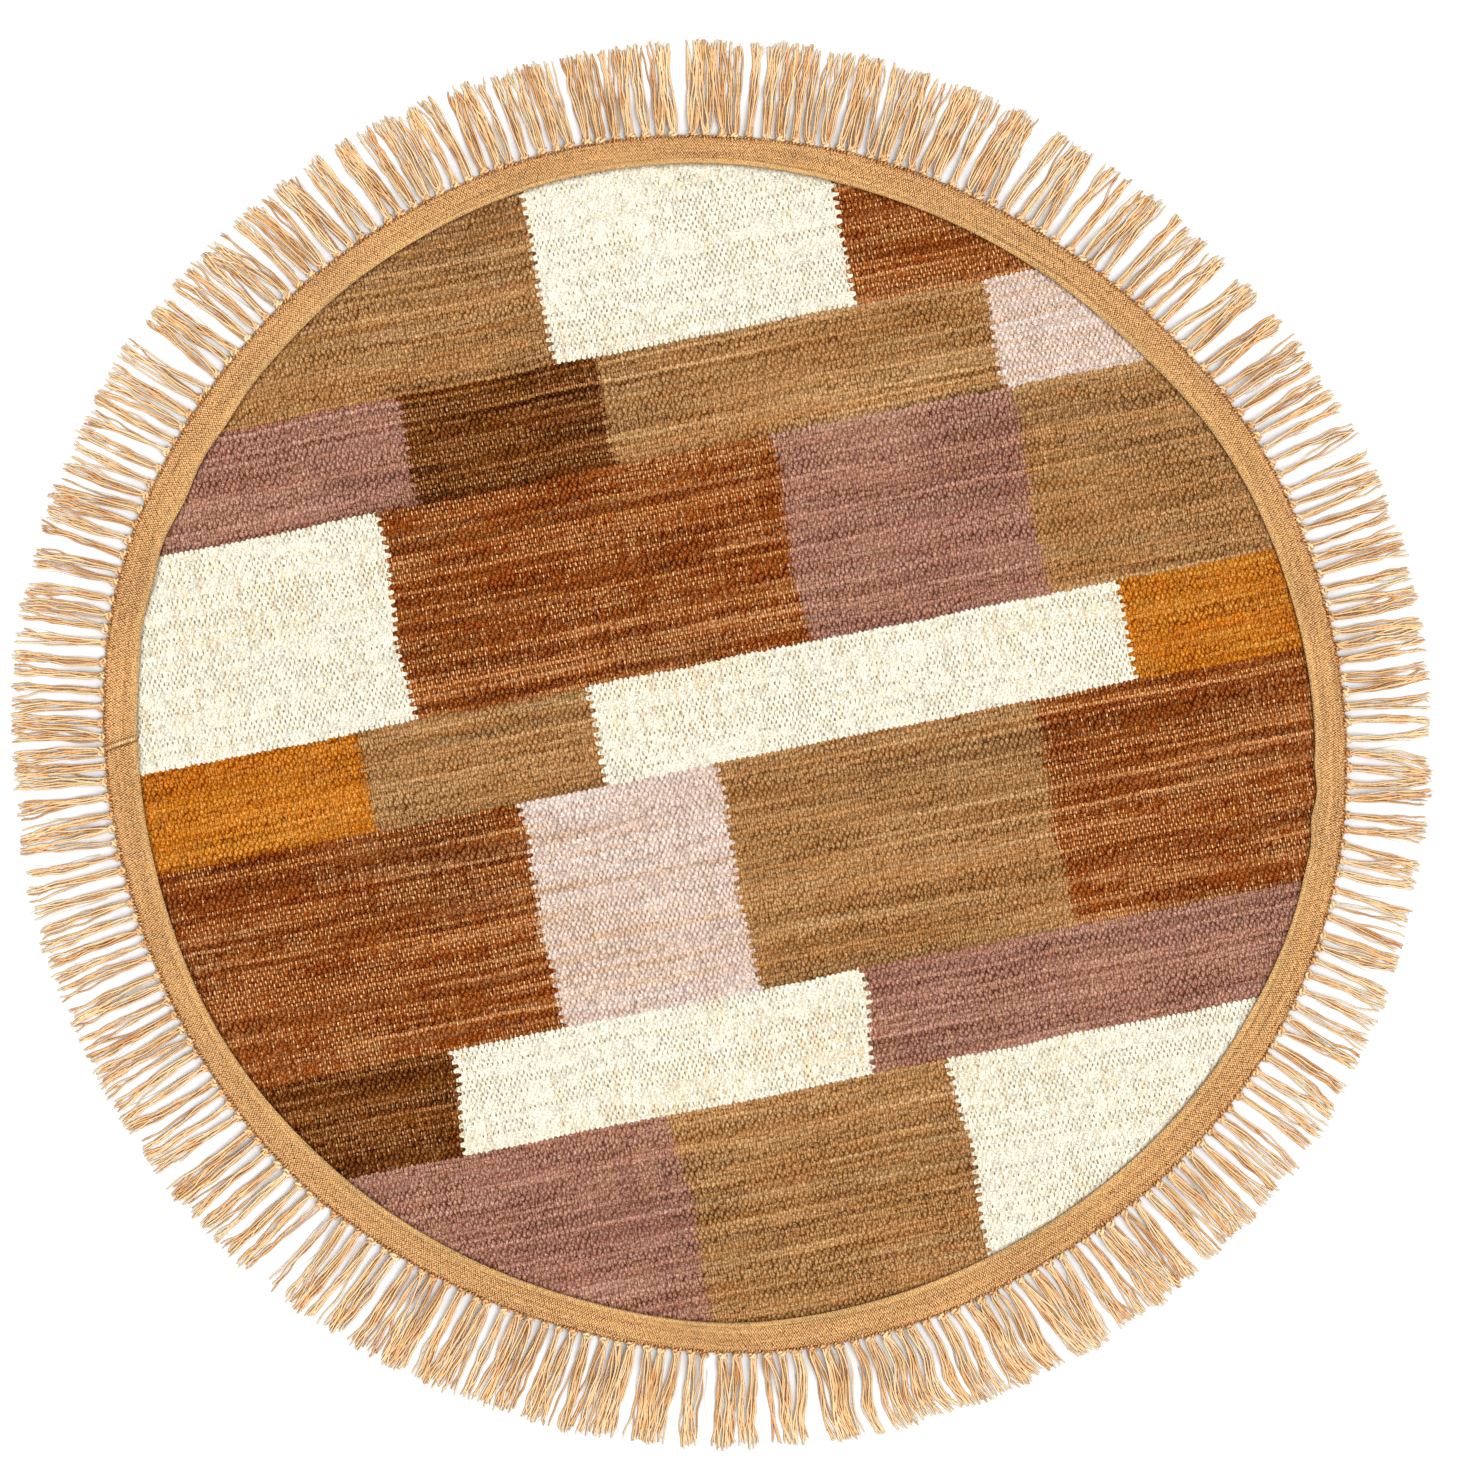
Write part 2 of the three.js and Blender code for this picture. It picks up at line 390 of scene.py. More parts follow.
def turnedBy(degrees, x, y):
    cos, sin = math.cos(math.radians(degrees)), math.sin(math.radians(degrees))
    return x * cos - y * sin, x * sin + y * cos


def weaveFrame(s, t):  # places along the weft and the warp, to x and y from the rim's centre
    return turnedBy(field["tiltDegrees"], s, t)


def weavePlaceOf(x, y):  # the count of warps and wefts at a point from the rim's centre
    s, t = turnedBy(-field["tiltDegrees"], x, y)
    return s / field["warpPitch"], t / field["weftPitch"]


def insideTape(x, y):  # how far a point lies inside the tape's inner edge
    return rimAt(np.degrees(np.arctan2(y, x)))[1] - np.hypot(x, y)


def zipRings(inner, outer, points):  # triangles between two rings of points that run counter-clockwise
    def unrolled(ring):
        angle = np.arctan2(points[ring, 1] - shiftY, points[ring, 0] - shiftX) % math.tau
        start = int(np.argmin(angle))
        ring = np.roll(ring, -start)
        return list(ring) + [ring[0]], list(np.roll(angle, -start)) + [angle[start] + math.tau]

    inner, innerAngle = unrolled(np.asarray(inner))
    outer, outerAngle = unrolled(np.asarray(outer))
    faces = []
    i = j = 0
    while i + 1 < len(inner) or j + 1 < len(outer):
        if j + 1 == len(outer) or (i + 1 < len(inner) and innerAngle[i + 1] < outerAngle[j + 1]):
            faces.append((inner[i], outer[j], inner[i + 1]))
            i += 1
        else:
            faces.append((inner[i], outer[j], outer[j + 1]))
            j += 1
    return faces


def outlineOf(quads):  # the loop round a patch of quads, counter-clockwise
    sides = dict.fromkeys(zip(quads.ravel(), np.roll(quads, -1, axis=1).ravel()))
    edges = {a: b for a, b in sides if (b, a) not in sides}
    loop = [next(iter(edges))]
    while edges[loop[-1]] != loop[0]:
        loop.append(edges[loop[-1]])
    return loop


def fieldFace(rng):  # the upper face, a point for each crossing of a warp and a weft
    counts = [int(field["reach"] / field[pitch]) for pitch in ("warpPitch", "weftPitch")]
    w, r = np.meshgrid(*[np.arange(-count, count + 1) for count in counts])
    s, t = w * field["warpPitch"], r * field["weftPitch"]
    calm = smooth(insideTape(*weaveFrame(s, t)), *field["wanderFade"])
    span = 1.5
    rowWave, warpWave = [softNoise(rng, field[wave], span) for wave in ("rowWave", "warpWave")]
    strayT = field["pointWander"] * rng.uniform(-1, 1, w.shape)
    t = t + calm * (field["rowWander"] * rowWave(s, 3 * t) + strayT)
    strayS = field["pointWander"] * rng.uniform(-1, 1, w.shape)
    s = s + calm * (field["warpWander"] * warpWave(3 * s, t) + strayS)
    x, y = weaveFrame(s, t)
    depth = insideTape(x, y)
    nub = np.where((w + r) % 2 == 0, 1.0, -1.0)
    bulk = rng.uniform(*field["nubSizes"], w.shape)
    bulk = bulk * (1 + 0.35 * softNoise(rng, field["nubWave"], span)(s, 4 * t))
    z = field["face"] + field["relief"] * nub * bulk * (0.15 + 0.85 * smooth(depth, *field["reliefFade"]))
    swell = softNoise(rng, field["swellWave"], span)(x, y)
    z = z + field["swell"] * swell * smooth(depth, *field["swellFade"])
    z = z - field["edgeDip"] * (1 - smooth(depth, *field["dipFade"]))
    keep = depth > -field["underTape"]
    cells = keep[:-1, :-1] & keep[1:, :-1] & keep[:-1, 1:] & keep[1:, 1:]
    at = np.arange(w.size).reshape(w.shape)
    quads = np.stack([at[:-1, :-1], at[:-1, 1:], at[1:, 1:], at[1:, :-1]], axis=-1)[cells]
    used = np.unique(quads)
    renumber = np.zeros(w.size, int)
    renumber[used] = np.arange(len(used))
    quads = renumber[quads]
    highFirst = (nub.ravel()[used][quads[:, 0]] > 0)[:, None]
    quads = np.where(highFirst, np.roll(quads, -1, axis=1), quads)  # each quad is split between its lows
    points = np.stack([x + shiftX, y + shiftY, z], axis=-1).reshape(-1, 3)[used]
    places = np.stack([w, r, depth / mm], axis=-1).reshape(-1, 3)[used].astype(float)
    return points, places, quads


def makeField():
    rng = np.random.default_rng(field["seed"])
    points, places, quads = fieldFace(rng)
    triangles = np.concatenate([quads[:, [0, 1, 2]], quads[:, [0, 2, 3]]])
    bearings = np.arange(0, fullTurn, 0.5)
    outer, inner = rimAt(bearings)
    end = outer - field["rimInset"]
    rings = [
        (end, field["rimTop"]),
        (end, field["rimBottom"]),
        (inner - field["undersideEnd"], field["rimBottom"]),
        (inner - field["undersideStart"], 0.0),
    ]
    loops = []
    for radius, height in rings:
        ring = polar(bearings, radius, height)
        loops.append(np.arange(len(points), len(points) + len(ring)))
        w, v = weavePlaceOf(ring[:, 0] - shiftX, ring[:, 1] - shiftY)
        points = np.concatenate([points, ring])
        places = np.concatenate([places, np.stack([w, v, (inner - radius) / mm], axis=-1)])
    farInside = 500.0
    points = np.concatenate([points, [[shiftX, shiftY, 0.0]]])
    places = np.concatenate([places, [[0.0, 0.0, farInside]]])
    faces = triangles.tolist() + zipRings(outlineOf(quads), loops[0], points)
    for near, far in zip(loops, loops[1:]):
        after = np.roll(near, -1), np.roll(far, -1)
        faces += np.stack([near, far, after[1], after[0]], axis=-1).tolist()
    last = loops[-1]
    faces += [(len(points) - 1, b, a) for a, b in zip(last, np.roll(last, -1))]
    cloth = meshObject(
        "woven_field_cloth", points, faces, attributes={"weavePlace": places}, material=weaveMaterial()
    )
    span = polar(bearings, end, 0.0)
    x, y = span[:, 0], span[:, 1]
    area = 0.5 * abs(np.sum(x * np.roll(y, -1) - y * np.roll(x, -1)))
    flat = (float(np.ptp(x)), float(np.ptp(y)))
    print("field:", len(faces), "faces, cut %.3f by %.3f m," % flat, "area %.3f" % area)
    return cloth, flat, float(area)


def blockNumber(wire, row, toothed):  # which yarn colour lies at a place, as a number from 0 to 1
    names = list(yarnColours)
    half = 0.7  # the ramp's reach to each side of the middle, in metres
    chosen = None
    for start, blocks in reversed(blockBands):
        stops = []
        left = -half
        for name, right in blocks:
            number = (names.index(name) + 0.5) / len(names)
            stops.append((max(0.0, (left + half) / (2 * half)), (number, number, number, 1)))
            left = right * mm
        along = toothed * (field["warpPitch"] / (2 * half)) + 0.5
        band = along.ramp(stops)
        if chosen:
            above = row > round(start * mm / field["weftPitch"])
            band = wire.mix(above, chosen, band)
        chosen = band
    return chosen


def yarnRamp(number, column):  # one column of the table, in steps over the numbers of the colours
    rows = [row[yarnColumns.index(column)] for row in yarnColours.values()]
    colours = [linear(row) if max(row) > 1 else [*row, 1.0] for row in rows]
    return number.ramp([(i / len(rows), colour) for i, colour in enumerate(colours)])


def weaveMaterial():
    weave = field["weave"]
    material, shader, wire = newMaterial("fieldWeave", 0.95, 0.08)
    place = wire.stored("weavePlace")
    w, v, inside = place.parts()
    strayW, strayV, slub = place.noise(1.0, "Color", weave["strayScale"]).parts()
    w = w + (strayW - 0.5) * weave["stray"][0]
    v = v + (strayV - 0.5) * weave["stray"][1]
    overWarp = (w * math.pi).cos()
    overWeft = (v * math.pi).cos()
    throughRows = v + 0.5 - overWarp * (v * math.pi).sin() * weave["rowBend"]
    row = throughRows.floor()
    inRow = throughRows - row
    # Painted shade in the grooves between the rows of weft.
    seam = 1 - (inRow * (1 - inRow)).between(0.0, weave["seam"])
    rowLuck = wire.vector(row, 3.0).chance()
    drift = (wire.vector(3.0, v * 0.045).noise() - 0.5) * weave["toothDrift"]
    lobe = overWeft.between(-0.75, 0.6) * weave["toothLobe"]
    number = blockNumber(wire, row, w + lobe - 1.0 + (rowLuck - 0.5) * weave["toothLuck"] + drift)

    # The nubs are pebbles on a slanted lattice, with painted highlights on their tops and one side, and
    # painted shade in the slots and cracks between.
    loose = weave["loose"]
    across, along = (w + v) * 0.5, (w - v) * 0.5
    lattice = wire.vector(across + loose / 2, along + loose / 2)
    away = lattice.pebbles(loose)
    luck, luckToo, shine = away.also("Color").parts()
    # Painted shade in the cracks between the nubs.
    crack = 1 - lattice.pebbles(loose, "DISTANCE_TO_EDGE").between(0.0, weave["crack"])
    # Painted shade in the slots round each nub.
    slot = away.between(*weave["slot"])
    # Painted light: the lattice shifted a little, less the lattice itself, lightens one side of each nub and
    # darkens the other.
    lightX, lightY = weave["lightFrom"]
    lit = wire.vector(across + loose / 2 + lightX, along + loose / 2 + lightY).pebbles(loose) - away

    # One long streak for each row, patches a few rows deep, and veins along the warp.
    tone, streak, streakToo = wire.vector(w * 0.006 + row * 17.3, row * 5.7).noise(2.0, "Color").parts()
    patch, pipPatch, bulk = wire.clouds(w, row, weave["patches"], output="Color").parts()
    wide, wideToo, wideThree = wire.clouds(w, v, weave["wide"], output="Color").parts()
    vein = wire.clouds(w, v, weave["veins"], 1.0)
    habits = yarnRamp(number, "habits").parts()
    where = {
        "streak": (streak + (wideToo - 0.5) * 0.3).between(*weave["streakEnds"]),
        "streakToo": (streakToo + (wide - 0.5) * 0.6).between(*weave["streakTooEnds"]),
        "vein": (vein + (wideThree - 0.5) * 0.7).between(*weave["veinEnds"]) * luckToo,
    }
    colour = yarnRamp(number, "yarn")
    for (column, there), share in zip(where.items(), yarnRamp(number, "streakShares").parts()):
        colour = wire.mix(there * share, colour, yarnRamp(number, column))
    colour = colour.bent(1 - (tone - 0.5) * 0.5 - (patch - 0.5) * 0.2)
    colour = colour.scaled(1 + (luck - 0.5) * 0.3 + (rowLuck - 0.5) * habits[2] * 0.5)

    # Between the nubs the warp shows in some places, and in cream and blush a painted shade shows there
    # instead; elsewhere the gaps get painted shade.
    under = (-(overWarp * overWeft) * overWarp * overWarp).between(0.2, 0.55)
    often = (pipPatch + rowLuck * 0.44 - 0.22 + (vein - 0.5) * 0.5).between(0.34, 0.68)
    slotLuck = wire.vector(across.floor(), along.floor()).chance()
    shown = under * habits[0] * (often - slotLuck).between(-0.12, 0.12) * (luck * 0.4 + 0.7)
    crisp = bulk.between(0.36, 0.62)
    fibre = wire.clouds(w, v, weave["fibres"])
    grain = wire.clouds(w, v, weave["grain"], 1.0)
    broken = fibre.between(0.44, 0.62)
    gapShade = slot * habits[1] * (0.6 + crisp * 0.6) + crack * habits[2] * broken * (0.7 + crisp * 0.8)
    gapShade = (gapShade + seam * habits[2] * (0.3 + broken * 0.6)) * (1 - shown)
    # Painted shade darkens and deepens the gaps; a painted highlight lightens each nub's top and one side.
    middle = (1 - away.between(0.0, 0.4)) * shine
    colour = colour.scaled(1.04 - gapShade * 0.45 + middle * 0.2 + lit * 0.25)
    colour = colour.bent(1 + gapShade * 0.45 - middle * 0.16 - lit * 0.3)
    colour = wire.mix(shown, colour, yarnRamp(number, "show"))
    colour = colour.scaled(fibre * 0.8 + grain * 0.9 + 0.15).bent(2.0 - fibre - grain)
    # Painted shadow of the tape's edge on the field, ragged where the slubs push it in or out.
    shade, shadeWidth = weave["edgeShade"]
    colour = colour.scaled(shade + (inside + (slub - 0.5) * 3).between(0.0, shadeWidth) * (1 - shade))

    height = (1 - away.between(0.1, 0.7)) * (0.6 + slub * 0.4) + fibre * 0.5
    finishMaterial(wire, shader, colour, height * mm)
    return material


# The tape: one strip folded over the field's rim, its ends lapped on the left with the upper one aslant.
tape = {
    "thickness": 1.1 * mm,
    "stackHeight": 5.2 * mm,
    "foldDepth": 2.2 * mm,
    "lapFrom": 176.4,
    "lapTo": 180.0,
    "lapRamp": 0.6,
    "lapSlant": 1.0,
    "lapRise": 1.2 * mm,
    "length": 3.77,
    "step": 0.25,
    "fineStep": 0.06,
    "bead": {"height": 0.18 * mm, "across": 0.9 * mm, "width": 0.7 * mm},
    "pucker": {"depth": 0.16 * mm, "width": 1.1 * mm},
    "waves": {"height": 0.22 * mm, "pitches": (7.3, 4.1, 2.3)},
    "doubledArcs": [(40, 120), (225, 300), (330, 360)],
    "doubledFade": 4,
    "doubledFrom": 5.0 * mm,
    "doubledStep": 0.4 * mm,
    "join": {
        "back": 0.22, "height": 1.0 * mm, "radius": 1.7 * mm, "sides": 6,
        "stitches": 12, "stitchRadius": 0.75 * mm, "reach": (1.6 * mm, 2.6 * mm), "seed": 8,
    },
    "seed": 5,
    "weave": {
        "warp": 1.25 * mm,
        "weft": 1.8 * mm,
        "loose": 0.3,
        "streaks": (9, 700),
        "patches": (9, 240),
        "fibres": (600, 900),
        "colours": ((219, 153, 91), (231, 167, 103)),
        "selvedge": (244, 194, 124),
        "selvedgeEnds": (3.5 * mm, 7.5 * mm),
        "pip": (255, 226, 170),
    },
}


def lapRise(bearing):
    starts = smooth(bearing, tape["lapFrom"] - tape["lapRamp"], tape["lapFrom"] + tape["lapRamp"])
    return tape["lapRise"] * starts * (bearing < tape["lapTo"])


def liftAt(bearing):  # the same where bearings run on past a full turn
    return lapRise(np.where(bearing > tape["lapTo"] + fullTurn / 2, bearing - fullTurn, bearing))


def slantAt(bearing):  # how far a cross-section turns aslant, whole at the lapped end
    return tape["lapSlant"] * bump(bearing, tape["lapTo"], 3.0)


def doubledAt(bearing):  # where the turned-in edge of the tape shows through as a line, and how strongly
    strength = 0
    fade = tape["doubledFade"]
    for low, high in tape["doubledArcs"]:
        begun = smooth(bearing, low - fade, low + fade)
        strength = strength + begun * (1 - smooth(bearing, high - fade, high + fade))
    return tape["doubledFrom"] * (1 + 0.2 * np.sin(np.radians(bearing) * 9)), strength


def tapeRelief(bearing, across):  # what is added to the tape's upper face; across is from its inner edge
    rng = np.random.default_rng(tape["seed"])
    angle = np.radians(bearing)
    pitches = tape["waves"]["pitches"]
    waves = 0
    for pitch in pitches:
        phase = rng.uniform(0, math.tau)
        waves = waves + np.sin(angle * round(fullTurn / pitch) + phase + across * 60) / len(pitches)
    line, doubled = doubledAt(bearing)
    step = tape["doubledStep"] * doubled * (smooth(across, line - 0.5 * mm, line + 0.5 * mm) - 1)
    bead = tape["bead"]["height"] * bump(across, tape["bead"]["across"], tape["bead"]["width"])
    drawn = bump(across, stitchRow["across"], tape["pucker"]["width"])
    turns = round(math.tau * rimRadius / stitchRow["pitch"])
    pucker = -tape["pucker"]["depth"] * drawn * (1 + 0.5 * np.cos(angle * turns))
    return tape["waves"]["height"] * waves + step + bead + pucker


# A line of small stitches holds the tape's inner edge down.
stitchRow = {
    "across": 2.6 * mm,
    "pitch": 3.7 * mm,
    "length": 2.7 * mm,
    "radius": 0.28 * mm,
    "sides": 5,
    "turnWander": 0.16,
    "sizeWander": 0.08,
    "seed": 3,
}


def tapeBearings():  # from the lapped end once round to itself, in fine steps near it
    start, end = tape["lapTo"], tape["lapTo"] + fullTurn
    after = np.arange(start + 0.02, start + 3, tape["fineStep"])
    coarse = np.arange(start + 3, end - 5, tape["step"])
    before = np.arange(end - 5, end - 0.02, tape["fineStep"])
    return np.concatenate([after, coarse, before, [end - 0.02]])


foldEnd = 12  # the last row of the fold in the profile
innerRow = 24  # the row at the inner edge of the upper face


def tapeProfile():  # share of the way to the outer edge, offset outward, height, and 1 on the upper face
    thick, top, fold = tape["thickness"], tape["stackHeight"], tape["foldDepth"]
    profile = [(0, 0.0, 0.35 * mm, 0), (0, 0.35 * mm, 0.0, 0), (0.35, 0, 0.0, 0), (0.7, 0, 0.0, 0)]
    for turn in np.radians(np.linspace(-90, 90, 9)):
        out = fold * (math.cos(turn) ** 0.75 - 1)
        height = top / 2 * (1 + math.copysign(abs(math.sin(turn)) ** 0.85, turn))
        profile.append((1, out, height, max(0.0, math.sin(turn))))
    for share in (0.86, 0.76, 0.66, 0.56, 0.46, 0.37, 0.29, 0.22, 0.16, 0.11, 0.07, 0.035):
        profile.append((share, 0.0, top, 1))
    profile += [(0, 0.35 * mm, top - 0.05 * mm, 1), (0, 0.0, top - 0.4 * mm, 1)]
    profile += [(0, 0.1 * mm, top - thick, 1), (0.5, 0, top - thick, 0.5), (1, -thick, top - thick, 0)]
    profile += [(1, -thick, thick, 0), (0.5, 0, thick, 0), (0, 0.1 * mm, thick, 0)]
    return np.array(profile)


def tapeSurface(bearing, share, out=0.0):  # bearing turned aslant near the lap, and the radius there
    turned = bearing + slantAt((bearing - 90) % fullTurn + 90) * (share - 0.5)
    outer, inner = rimAt(turned)
    return turned, inner + (outer - inner) * share + out, inner


def makeTape():
    bearings = tapeBearings()
    profile = tapeProfile()
    b, k = np.meshgrid(bearings, np.arange(len(profile)), indexing="ij")
    share, out, height, upper = [profile[k, column] for column in range(4)]
    turned, radius, inner = tapeSurface(b, share, out)
    back = b % fullTurn
    lift = liftAt(b) * upper
    shown = np.where(k > foldEnd, upper, 0) * (height > tape["stackHeight"] / 2)
    points = polar(turned, radius, height + lift + tapeRelief(back, radius - inner) * shown)
    along = np.radians(b - tape["lapTo"]) * tape["length"] / math.tau
    step = np.hypot(np.diff(radius, axis=1), np.diff(height, axis=1)).mean(axis=0)
    developed = np.concatenate([[0], np.cumsum(step)])
    inward = developed[innerRow] - developed
    line, doubled = doubledAt(back)
    places = np.stack([along, np.broadcast_to(inward, b.shape), line], axis=-1).reshape(-1, 3)
    at = np.arange(b.size).reshape(b.shape)
    nextRow = np.roll(at, -1, axis=0)
    quads = np.stack([at, nextRow, np.roll(nextRow, -1, axis=1), np.roll(at, -1, axis=1)], axis=-1)
    strip = meshObject(
        "edge_tape_strip", points.reshape(-1, 3), quads.reshape(-1, 4).tolist(),
        attributes={"tapePlace": places, "tapeDoubled": doubled.ravel()}, material=tapeMaterial(),
    )
    print("tape:", len(bearings), "sections of", len(profile))
    return strip


def tapeMaterial():
    weave = tape["weave"]
    material, shader, wire = newMaterial("edgeTape", 0.92, 0.1)
    along, across, line = wire.stored("tapePlace").parts()
    doubled = wire.stored("tapeDoubled", "Fac")
    strayA, strayB, mood = wire.vector(along * 300, across * 300).noise(1.0, "Color", 0.5).parts()
    a = along * (1 / weave["warp"]) + (strayA - 0.5) * 0.7
    c = across * (1 / weave["weft"]) + (strayB - 0.5) * 0.6
    a = a + c * 0.2
    away = wire.vector((a + c) * 0.5, (a - c) * 0.5).pebbles(weave["loose"])
    luck, shine, _ = away.also("Color").parts()
    kinds = ("streaks", "patches", "fibres")
    streak, patch, fibre = [wire.clouds(along, across, weave[kind]) for kind in kinds]
    selvedge = 1 - across.between(*weave["selvedgeEnds"])
    colour = wire.mix(patch.between(0.35, 0.65), *[linear(part) for part in weave["colours"]])
    colour = wire.mix(selvedge * (0.2 + mood * 0.6), colour, linear(weave["selvedge"]))
    colour = colour.scaled(0.36 + streak * 0.8 + patch * 0.52 + (luck - 0.5) * 0.4)
    # Painted highlight on each nub's top, and painted shade between the nubs.
    pip = (1 - away.between(0.08, 0.42)) * (1 - selvedge * 0.2)
    colour = wire.mix(pip * (0.35 + shine * 0.65), colour, linear(weave["pip"]))
    colour = colour.scaled(1 - away.between(0.32, 0.62) * (0.74 + (mood - 0.5) * 0.8 - selvedge * 0.16))
    colour = colour.scaled(0.3 + fibre * 1.4)

    # Painted shade along the doubled line, in a band beside the join roll, and at the lap, where the upper
    # end lies over the lower one.
    fromLine = (across - line + (strayA - 0.5) * 1.5 * mm).math("ABSOLUTE")
    colour = colour.scaled(1 - (1 - fromLine.between(0.2 * mm, 1.4 * mm)) * doubled * 0.26)
    colour = colour.scaled(0.3 + 0.7 * along.between(0.6 * mm, 3.0 * mm))
    end = tape["length"]
    lapRollShade = along.between(end - 7.0 * mm, end - 5.5 * mm)
    lapRollShade = lapRollShade * (1 - along.between(end - 5.0 * mm, end - 3.5 * mm))
    colour = colour.scaled(1 - lapRollShade * 0.4)
    # Painted shade along the tape's inner edge, where it turns down to the field.
    colour = colour.scaled(0.8 + 0.2 * across.between(-0.3 * mm, 1.0 * mm))
    height = (1 - away.between(0.05, 0.7)) * 0.6 + fibre * 0.3 + (streak - 0.5) * 0.4
    finishMaterial(wire, shader, colour, height * mm)
    return material


# The fringe: locks of yarn knotted into a narrow sewn heading. The first entries are the frame's own.
fringe = {
    "lockCount": 256,
    "gap": 0.3 * mm,
    "headingWidth": 2.4 * mm,
    "knotLength": 6.2 * mm,
    "neck": 2.6 * mm,
    "placeWander": 0.15,
    "leanWander": 3.0 * mm,
    "bowWander": 1.6 * mm,
    "lengthWander": 5.0 * mm,
    "leanCurve": 1.4,
    "middleRadius": 0.68,
    "sCurve": {"bearing": 285, "spread": 16, "depth": 3.2 * mm},
    "clumpSizes": {1: 0.3, 2: 0.42, 3: 0.22, 4: 0.06},  # how many locks draw together, and how often
    "clumpPull": (0.0, 0.6),
    "yarns": (8, 11),
    "usualFullness": 0.66,
    "thinShare": 0.07,
    "thinYarns": 3,
    "bundles": {1: 0.3, 2: 0.45, 3: 0.25},  # how many a lock opens into, and how often
    "opening": (0.12, 0.45),
    "rootSpread": 3.3 * mm,
    "tipSpread": (1.6 * mm, 5.4 * mm),
    "yarnRadius": (0.7 * mm, 1.02 * mm),
    "yarnPitch": 1.3 * mm,
    "pitchWander": (0.7, 1.25),
    "lengthShare": (0.93, 1.02),
    "strayShare": 0.34,
    "strayReach": (2 * mm, 8 * mm),
    "strayCurve": (0.8, 2.2),
    "waves": ((22 * mm, 36 * mm), (45 * mm, 80 * mm)),
    "waveDepth": 1.6 * mm,
    "usualWave": 50 * mm,
    "layer": 1.1 * mm,
    # Painted light: yarns that lie higher in a lock take paler tones, the lower ones darker, as if shaded by
    # those above.
    "layerShadeTones": (0.32, 0.48, 0.66),
    "lockTone": 0.06,
    "yarnTone": 0.08,
    "rootRise": (2.4 * mm, 5.6 * mm),
    "hump": 1.5 * mm,
    "steps": 17,
    "sides": 4,
    "hairs": 1,
    "hairRadius": 0.2 * mm,
    "hairReach": (5 * mm, 11 * mm),
    "hairTone": 0.2,
    "wisps": 1,
    "wispRadius": 0.26 * mm,
    "wispReach": (2 * mm, 9 * mm),
    "wispTone": 0.95,
    "seed": 23,
}


def wander(lock, use):  # a value from -1 to 1 settled by a lock's number and its use
    turned = math.sin(lock * 12.9898 + use * 78.233) * 43758.5453
    return 2 * (turned - math.floor(turned)) - 1


def sCurveAt(bearing):  # where the locks lie in slow double bends
    return fringe["sCurve"]["depth"] * bump(bearing, fringe["sCurve"]["bearing"], fringe["sCurve"]["spread"])


def lockAt(lock):
    bearing = (lock + 0.5 + fringe["placeWander"] * wander(lock, 1)) * (fullTurn / fringe["lockCount"])
    root = fringe["gap"] + fringe["headingWidth"]
    reach = float(columnAt("fringeReach", bearing)) + fringe["lengthWander"] * (wander(lock, 2) - 1) * 0.5
    return {
        "bearing": bearing,
        "start": float(rimAt(bearing)[0]) + root,
        "free": reach - root - fringe["knotLength"],
        "lean": float(columnAt("fringeLean", bearing)) + fringe["leanWander"] * wander(lock, 3),
        "bow": fringe["bowWander"] * wander(lock, 4),
        "sCurve": sCurveAt(bearing) * (1 + 0.5 * wander(lock, 5)),
        "fullness": float(columnAt("fringeFullness", bearing)) / mm / fringe["usualFullness"],
    }


def pick(rng, shares):
    return int(rng.choice(list(shares), p=list(shares.values())))


def clumps(rng):  # how far each lock's tip is drawn towards the middle of its small group
    pitch = math.tau * fringe["middleRadius"] / fringe["lockCount"]
    pulls = []
    while len(pulls) < fringe["lockCount"]:
        size = pick(rng, fringe["clumpSizes"])
        pull = rng.uniform(*fringe["clumpPull"])
        pulls += [((size - 1) / 2 - place) * pitch * pull for place in range(size)]
    return pulls[: fringe["lockCount"]]


def bundlesOf(rng, count, fullness):  # the places of a lock's yarns at the root and at the tip
    parts = pick(rng, fringe["bundles"])
    spread = rng.uniform(*fringe["tipSpread"]) * fullness
    middles = np.linspace(-1, 1, parts) * spread if parts > 1 else np.zeros(1)
    middles = middles + rng.uniform(-1, 1, parts) * mm
    openings = rng.uniform(*fringe["opening"], parts)
    roots = rng.permutation(count)
    partOf = np.arange(count) * parts // count
    places = []
    for order, part in enumerate(partOf):
        offset = order - np.flatnonzero(partOf == part).mean()
        offset = offset * fringe["yarnPitch"] * rng.uniform(*fringe["pitchWander"])
        root = ((roots[order] + 0.5) / count * 2 - 1) * fringe["rootSpread"] * fullness
        places.append({"root": root, "tip": middles[part] + offset, "opening": openings[part]})
    return places


